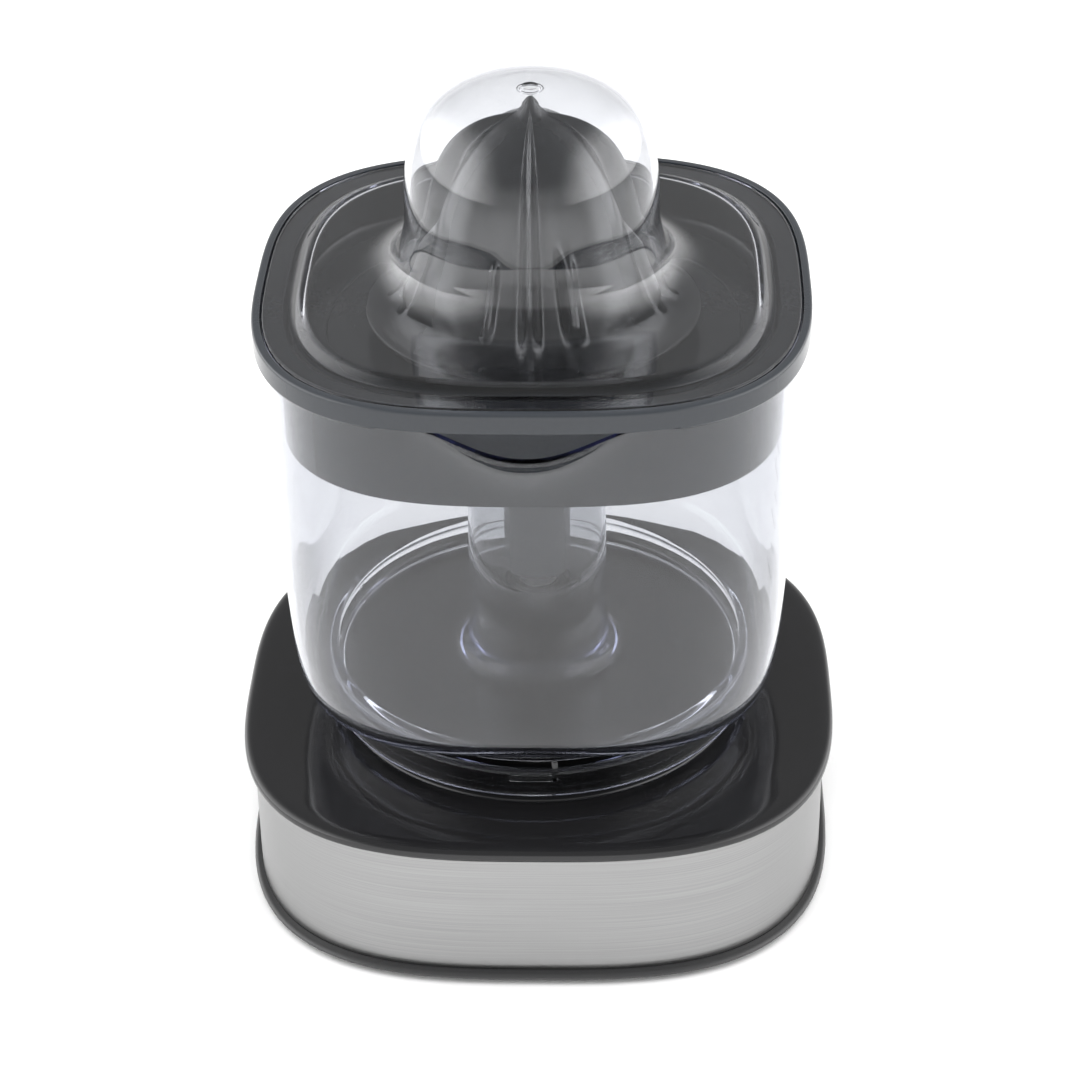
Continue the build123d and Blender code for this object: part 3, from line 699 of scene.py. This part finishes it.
basket_section = [
    station(rim_x - 0.8, rim_low, SQUARE, rim_extra, 0.5),
    station(rim_x, rim_low + 0.8, SQUARE, rim_extra, 0.6),
    station(rim_x, rim_top, SQUARE, rim_extra, 0.9),
    station(cover_x + 0.4, rim_top, SQUARE, cover_y - cover_x, 0.3),
    station(cover_x + 0.4, ledge, SQUARE, cover_y - cover_x, 0.3),
    station(basket_half - basket_wall, ledge, SQUARE, 0.0, 0.8),
    station(basket_half - basket_wall, strain_high, SQUARE, 0.0, 2.4),
    station(54.5, strain_high, ROUND, 0, 0.3),
    station(54.5, strain_low, ROUND, 0, 0.3),
    station(basket_half - basket_wall, strain_low, SQUARE, 0.0, 1.4),
    station(basket_half - basket_wall, basket_low, SQUARE, 0.0, 0.5),
    station(basket_half, basket_low, SQUARE, 0.0, 0.5),
    station(basket_half + 0.1, rim_low, SQUARE, 0.0, 0.2),
]
basket = moulding("strainer_basket_moulding", basket_section, shape=spout_relief, points=240)
place(basket, "strainer_basket", "dark_gloss", dark_gloss, "strainer_basket")

# %% [markdown]
# The slots are made by what is left between them: rings of plain floor, joined by bars.
# A bar repeats round a circle, which is a job for Geometry Nodes: a circle of points, a
# bar on each, turned to face outwards, then made real geometry.

# %% Bars round a circle with Geometry Nodes


def ring_tree():
    """A node tree that puts bars round a circle."""
    tree = bpy.data.node_groups.new("bars_round_a_circle", "GeometryNodeTree")
    face = tree.interface
    face.new_socket("Geometry", in_out="INPUT", socket_type="NodeSocketGeometry")
    face.new_socket("Count", in_out="INPUT", socket_type="NodeSocketInt")
    face.new_socket("Radius", in_out="INPUT", socket_type="NodeSocketFloat")
    face.new_socket("Bar Size", in_out="INPUT", socket_type="NodeSocketVector")
    face.new_socket("Height", in_out="INPUT", socket_type="NodeSocketFloat")
    face.new_socket("Finish", in_out="INPUT", socket_type="NodeSocketMaterial")
    face.new_socket("Geometry", in_out="OUTPUT", socket_type="NodeSocketGeometry")
    add = tree.nodes.new
    given = add("NodeGroupInput")
    result = add("NodeGroupOutput")
    circle = add("GeometryNodeMeshCircle")
    bar = add("GeometryNodeMeshCube")
    place_of = add("GeometryNodeInputPosition")
    outwards = add("FunctionNodeAlignRotationToVector")
    on_points = add("GeometryNodeInstanceOnPoints")
    lift = add("ShaderNodeCombineXYZ")
    move = add("GeometryNodeTransform")
    real = add("GeometryNodeRealizeInstances")
    paint = add("GeometryNodeSetMaterial")
    link = tree.links.new
    outwards.axis = "X"
    outwards.pivot_axis = "Z"
    link(given.outputs["Count"], circle.inputs["Vertices"])
    link(given.outputs["Radius"], circle.inputs["Radius"])
    link(given.outputs["Bar Size"], bar.inputs["Size"])
    link(given.outputs["Height"], lift.inputs["Z"])
    link(place_of.outputs["Position"], outwards.inputs["Vector"])
    link(circle.outputs["Mesh"], on_points.inputs["Points"])
    link(bar.outputs["Mesh"], on_points.inputs["Instance"])
    link(outwards.outputs["Rotation"], on_points.inputs["Rotation"])
    link(on_points.outputs["Instances"], move.inputs["Geometry"])
    link(lift.outputs["Vector"], move.inputs["Translation"])
    link(move.outputs["Geometry"], real.inputs["Geometry"])
    link(real.outputs["Geometry"], paint.inputs["Geometry"])
    link(given.outputs["Finish"], paint.inputs["Material"])
    link(paint.outputs["Geometry"], result.inputs["Geometry"])
    return tree


def run_tree(name, tree, **values):
    """Give a tree its inputs, evaluate it once, and keep the result as a plain mesh."""
    holder = bpy.data.objects.new(name + "_maker", bpy.data.meshes.new(name + "_maker"))
    bpy.context.scene.collection.objects.link(holder)
    modifier = holder.modifiers.new("maker", "NODES")
    modifier.node_group = tree
    for item in tree.interface.items_tree:
        key = item.name.replace(" ", "_")
        if item.in_out == "INPUT" and key in values:
            modifier[item.identifier] = values[key]
    bpy.context.view_layer.update()
    evaluated = holder.evaluated_get(bpy.context.evaluated_depsgraph_get())
    mesh = bpy.data.meshes.new_from_object(evaluated)
    holder.modifiers.remove(modifier)
    bpy.data.objects.remove(holder)
    made = bpy.data.objects.new(name, mesh)
    bpy.context.scene.collection.objects.link(made)
    return made


def join(name, parts):
    """Join several mesh objects into one new piece."""
    bm = bmesh.new()
    for part in parts:
        bm.from_mesh(part.data)
        bpy.data.objects.remove(part)
    mesh = bpy.data.meshes.new(name)
    bm.to_mesh(mesh)
    bm.free()
    piece = bpy.data.objects.new(name, mesh)
    bpy.context.scene.collection.objects.link(piece)
    mesh.shade_smooth()
    mesh.set_sharp_from_angle(angle=CREASE)
    return piece


# %% Strainer floor
bars_tree = ring_tree()
strain_mid = (strain_low + strain_high) / 2
SLOT_BANDS = [(18.5, 25.5, 40), (27.5, 34.5, 56)]
floor_parts = []
edges = [14.0] + [value for inner, outer, _ in SLOT_BANDS for value in (inner, outer)] + [54.6]
for inner, outer in zip(edges[::2], edges[1::2]):
    ring = [
        station(outer, strain_low, ROUND, 0, 0.2), station(outer, strain_high, ROUND, 0, 0.3),
        station(inner, strain_high, ROUND, 0, 0.3), station(inner, strain_low, ROUND, 0, 0.2),
    ]
    floor_parts.append(moulding(f"ring_{inner:.0f}", ring, points=144, steps=2))
for inner, outer, count in SLOT_BANDS:
    size = ((outer - inner + 0.4) * MM, 1.5 * MM, (strain_high - strain_low - 0.1) * MM)
    floor_parts.append(run_tree(
        f"bars_{count}", bars_tree, Count=count, Radius=(inner + outer) / 2 * MM,
        Bar_Size=size, Height=strain_mid * MM, Finish=dark_gloss,
    ))
neck = [
    station(14.0, 150.0, ROUND, 0, 0.4), station(14.0, 161.0, ROUND, 0, 0.8),
    station(9.4, 161.0, ROUND, 0, 0.5), station(9.4, 150.0, ROUND, 0, 0.4),
]
floor_parts.append(moulding("neck", neck, points=96, steps=3))
strainer = join("strainer_floor", floor_parts)
place(strainer, "strainer_basket", "dark_gloss", dark_gloss)

# %% [markdown]
# ## The reamer
# The reamer follows a rule, so it is a surface worked out point by point: a bell-shaped
# core, four broad lobes, four thin blades between them, and short pointed ribs low down.
# Each rib is a height above the core, found from the angle round the axis and from how far
# down the core the point lies.

# %% Reamer surface
CORE = [
    (0.0, 219.0), (3.5, 218.6), (8.0, 216.9), (12.6, 213.6), (16.4, 208.8), (19.2, 202.6), (21.4, 195.4),
    (23.4, 187.6), (25.8, 180.0), (29.2, 173.0), (33.2, 168.2), (37.4, 165.9), (41.4, 165.0), (43.4, 164.7),
]


def along_core(share):
    """Smooth point of the core's profile, by a Catmull-Rom curve through its stations."""
    at = share * (len(CORE) - 1)
    index = min(int(at), len(CORE) - 2)
    t = at - index
    p0, p1 = CORE[max(index - 1, 0)], CORE[index]
    p2, p3 = CORE[index + 1], CORE[min(index + 2, len(CORE) - 1)]
    out = []
    for a, b, c, d in zip(p0, p1, p2, p3):
        bend, twist = 2 * a - 5 * b + 4 * c - d, 3 * b - a - 3 * c + d
        out.append(0.5 * (2 * b + (c - a) * t + bend * t ** 2 + twist * t ** 3))
    return max(out[0], 0.0), out[1]


def smooth(low, high, value):
    t = max(0.0, min(1.0, (value - low) / (high - low)))
    return t * t * (3 - 2 * t)


def crest(angle, centre, half, fullness=2.0):
    """1 on a rib's crest, falling smoothly to 0 at its foot."""
    away = abs((angle - centre + 180) % 360 - 180)
    return math.cos(math.pi / 2 * away / half) ** fullness if away < half else 0.0


def rib_height(degrees, share):
    """Height of the ribs above the core, in millimetres."""
    lobe_size = 6.8 * smooth(0.18, 0.50, share) * (1 - smooth(0.62, 0.98, share))
    blade_size = 5.6 * smooth(0.03, 0.40, share) * (1 - smooth(0.60, 0.90, share))
    short_size = 3.6 * smooth(0.47, 0.56, share) * (1 - smooth(0.70, 0.84, share))
    height = 0.0
    for turn in range(4):
        height = max(height, lobe_size * crest(degrees, 90 * turn + 45, 36, 1.3))
        height = max(height, blade_size * crest(degrees, 90 * turn, 7))
        for side in (-1, 1):
            height += short_size * crest(degrees, 90 * turn + side * 20, 6)
    return height


REAMER_TURNS, REAMER_STEPS = 360, 120
TIP_RISE, TIP_WIDTH = reamer_top - CORE[0][1], 2.6


def reamer_ring(bm, place_at):
    """A ring of points, each placed by a rule of its angle in degrees."""
    ring = []
    for index in range(REAMER_TURNS):
        degrees = 360 * index / REAMER_TURNS
        r, z = place_at(degrees)
        angle = math.radians(degrees)
        ring.append(bm.verts.new((r * math.cos(angle) * MM, r * math.sin(angle) * MM, z * MM)))
    return ring


def ribbed(degrees):
    """Where the ribbed surface is at this angle, on the current step down the core."""
    height = rib_height(degrees - 270, share)
    r = radius + normal.x * height
    return r, z + normal.y * height + TIP_RISE * math.exp(-((r / TIP_WIDTH) ** 2))


bm = bmesh.new()
rings = []
for step in range(REAMER_STEPS + 1):
    share = step / REAMER_STEPS
    radius, z = along_core(share)
    slope_r, slope_z = along_core(min(share + 0.01, 1.0))
    back_r, back_z = along_core(max(share - 0.01, 0.0))
    tangent = Vector((slope_r - back_r, slope_z - back_z)).normalized()
    normal = Vector((-tangent.y, tangent.x))
    if radius < 1e-6:
        rings.append([bm.verts.new((0, 0, reamer_top * MM))])
        continue
    rings.append(reamer_ring(bm, ribbed))
hollow_top = 206.0
under = soften([
    station(44.0, 164.3, ROUND, 0, 0.3),
    station(44.0, reamer_low, ROUND, 0, 0.4),
    station(42.2, reamer_low, ROUND, 0, 0.3),
    station(41.0, 164.0, ROUND, 0, 0.4),
    station(31.0, 165.6, ROUND, 0, 2.0),
    station(20.4, 180.0, ROUND, 0, 4.0),
    station(16.0, 199.0, ROUND, 0, 3.0),
    station(9.0, hollow_top, ROUND, 0, 1.0),
])
for half_x, _, z, _ in under:
    rings.append(reamer_ring(bm, lambda degrees: (half_x, z)))
rings.append([bm.verts.new((0, 0, hollow_top * MM))])
for low, high in zip(rings, rings[1:]):
    bridge(bm, low, high, REAMER_TURNS)
reamer = new_object("reamer_cone", bm)
place(reamer, "reamer", "dark_gloss", reamer_gloss, "reamer")

# %% [markdown]
# ## The dust cover
# One thin clear shell: a flat flange that lies on the basket's ledge, a small step up to a
# flat top, and a dome that grows out of it with a wide flare. Its section starts at the
# pole outside, runs out to the flange's edge, and comes back inside to the pole.

# %% Dust cover section
COVER_WALL = 1.6
dome_r, dome_rise, dome_power = 33.0, 35.0, 3.0
dome_mid = dome_top - dome_rise
top_flat = 175.0
flange_top = rim_top - 0.1
wall_foot, wall_foot_z, flare_wide = 34.6, 183.0, 11.0


def dome_profile():
    """Outer radius and height from the pole, over the shoulder, to the flat top."""
    points = []
    for step in range(41):
        angle = math.pi / 2 * step / 40
        across = dome_r * math.sin(angle) ** (2 / dome_power)
        up = dome_rise * abs(math.cos(angle)) ** (2 / dome_power)
        points.append((across, dome_mid + up))
    for step in range(1, 9):
        share = step / 8
        across = dome_r + (wall_foot - dome_r) * share ** 1.6
        points.append((across, dome_mid + (wall_foot_z - dome_mid) * share))
    for step in range(1, 15):
        angle = math.pi / 2 * step / 14
        reach = wall_foot + flare_wide * (1 - math.cos(angle)) + 1.2 * math.sin(angle)
        points.append((reach, top_flat + (wall_foot_z - top_flat) * (1 - math.sin(angle))))
    return points


def offset_profile(points, distance):
    """The same profile moved square to itself, so the wall is even everywhere."""
    moved = [(0.0, points[0][1] - distance)]
    for before, here, after in zip(points, points[1:], points[2:] + [points[-1]]):
        run = Vector((after[0] - before[0], after[1] - before[1])).normalized()
        moved.append((max(here[0] + run.y * distance, 0.05), here[1] - run.x * distance))
    return moved


def gate_mark(points, rings):
    """Raise or sink small rings near the pole, where the mould was filled."""
    top = points[0][1]
    return [(0.0, top + rings[0][1])] + [(r, top + lift) for r, lift in rings] + points[4:]


outer_rings = [(0.5, -0.25), (1.5, -0.25), (1.9, -0.1), (2.1, 0.0), (2.6, 0.0)]
inner_rings = [(0.5, 0.0), (2.5, 0.0), (2.7, -0.3), (3.2, -0.3), (3.4, 0.0)]
profile = dome_profile()
cover_extra = cover_y - cover_x
outer = [station(r, z) for r, z in gate_mark(profile, outer_rings)] + [
    station(52.0, top_flat, 2.4, 0.3, 0),
    station(59.6, top_flat, SQUARE, cover_extra, 0.8),
    station(62.4, flange_top, SQUARE, cover_extra, 0.8),
    station(cover_x, flange_top, SQUARE, cover_extra, 0.7),
]
inner = [station(r, z) for r, z in gate_mark(offset_profile(profile, COVER_WALL), inner_rings)] + [
    station(51.0, top_flat - COVER_WALL, 2.4, 0.3, 0),
    station(58.5, top_flat - COVER_WALL, SQUARE, cover_extra, 0.7),
    station(61.2, flange_top - COVER_WALL, SQUARE, cover_extra, 0.5),
    station(61.5, ledge + 0.1, SQUARE, cover_extra, 0.2),
    station(cover_x, ledge + 0.1, SQUARE, cover_extra, 0.4),
]
dust_cover = moulding("dust_cover_shell", outer + inner[::-1], closed=False, points=200, steps=4)
place(dust_cover, "dust_cover", "clear_plastic", clear_cover, "dust_cover")

# %% [markdown]
# ## Pieces that keep their CAD shape
# Turned, stamped and moulded inner parts are already right, so they only get a finish.

# %% Finishes for the CAD nodes
CAD_FINISH = {
    "feet": rubber, "housing_screws": zinc_steel, "cord_gland": rubber, "gear_tray": switch_black,
    "tray_screws": zinc_steel, "lower_bush": bronze, "upper_bush": bronze, "shaft_seal": rubber,
    "gear_washer": acetal, "compound_axle": zinc_steel, "motor_case": zinc_steel, "motor_coil": copper,
    "motor_bearings": bronze, "microswitch": switch_black, "lever_pin": zinc_steel, "terminal_block": acetal,
    "output_gear": acetal, "press_spring": spring_steel, "compound_gear": acetal, "motor_rotor": ferrite,
    "motor_shaft": zinc_steel, "motor_pinion": acetal, "spindle": zinc_steel, "spindle_circlip": spring_steel,
    "spring_washer": zinc_steel, "switch_lever": spring_steel, "switch_plunger": switch_black,
    "drive_stem": dark_gloss,
}
for name, material in CAD_FINISH.items():
    slots = nodes[name].data.materials
    slots.clear()
    slots.append(material)
print(len(CAD_FINISH), "CAD nodes finished")

# %% [markdown]
# ## Studio
# A plain white floor in a light tent. Gloss black and clear plastic show their shape only by
# what they reflect, so the surround is bright at the left and right, with soft edges, and
# dim in front, behind and above. One large light overhead keeps the floor white; it's left
# out of reflections, because a tent has no hard-edged lamp to mirror.

# %% Floor and surround
floor_mesh = bpy.data.meshes.new("floor")
reach = 6.0
floor_corners = [(-reach, -reach, 0), (reach, -reach, 0), (reach, reach, 0), (-reach, reach, 0)]
floor_mesh.from_pydata(floor_corners, [], [(0, 1, 2, 3)])
floor = bpy.data.objects.new("floor", floor_mesh)
bpy.context.scene.collection.objects.link(floor)
floor.data.materials.append(finish("floor_white", (0.97, 0.97, 0.97), 0.6, bump=0.0, tone=0.005))

world = bpy.data.worlds.new("studio")
world.use_nodes = True
bpy.context.scene.world = world
sky = world.node_tree
direction = sky.nodes.new("ShaderNodeTexCoord")
split = sky.nodes.new("ShaderNodeSeparateXYZ")
sideways = sky.nodes.new("ShaderNodeMath")
sideways.operation = "ABSOLUTE"


def fade(source, start, end, low, high):
    """Brightness that changes smoothly from low to high between two directions."""
    node = sky.nodes.new("ShaderNodeMapRange")
    node.interpolation_type = "SMOOTHERSTEP"
    node.inputs["From Min"].default_value = start
    node.inputs["From Max"].default_value = end
    node.inputs["To Min"].default_value = low
    node.inputs["To Max"].default_value = high
    sky.links.new(source, node.inputs["Value"])
    return node.outputs["Result"]


sky.links.new(direction.outputs["Generated"], split.inputs["Vector"])
sky.links.new(split.outputs["X"], sideways.inputs[0])
side_glow = fade(sideways.outputs["Value"], 0.35, 0.95, 0.0, 2.6)
horizon_glow = fade(split.outputs["Z"], 0.0, 0.50, 1.0, 0.40)
total = sky.nodes.new("ShaderNodeMath")
sky.links.new(side_glow, total.inputs[0])
sky.links.new(horizon_glow, total.inputs[1])
sky.links.new(total.outputs["Value"], sky.nodes["Background"].inputs["Strength"])
sky.nodes["Background"].inputs["Color"].default_value = (1, 1, 1, 1)

light = bpy.data.lights.new("overhead", "AREA")
light.shape = "RECTANGLE"
light.size, light.size_y, light.energy = 2.2, 2.2, 29
overhead = bpy.data.objects.new("overhead", light)
bpy.context.scene.collection.objects.link(overhead)
overhead.location = (0, 0, 1.6)
overhead.visible_glossy = False
overhead.visible_transmission = False

# %% [markdown]
# ## Camera
# A long lens looks down at the spout side, almost square on.

# %% Camera
ELEVATION, AZIMUTH, ROLL = math.radians(32.71), math.radians(1.96), math.radians(0.91)
DISTANCE = 0.8242
TARGET = Vector((0.0007, 0.0, 0.0906))
camera_data = bpy.data.cameras.new("camera")
camera_data.lens = 99.55
camera_data.sensor_width = 36.0
camera = bpy.data.objects.new("camera", camera_data)
bpy.context.scene.collection.objects.link(camera)
back = Vector((
    math.sin(AZIMUTH) * math.cos(ELEVATION), -math.cos(AZIMUTH) * math.cos(ELEVATION), math.sin(ELEVATION),
))
camera.location = TARGET + back * DISTANCE
facing = back.to_track_quat("Z", "Y").to_matrix().to_4x4()
camera.rotation_euler = (facing @ Matrix.Rotation(-ROLL, 4, "Z")).to_euler()
bpy.context.scene.camera = camera
bpy.context.scene.view_settings.view_transform = "Standard"
cycles = bpy.context.scene.cycles
cycles.max_bounces = 24
cycles.transmission_bounces = 24
cycles.glossy_bounces = 8
cycles.transparent_max_bounces = 24
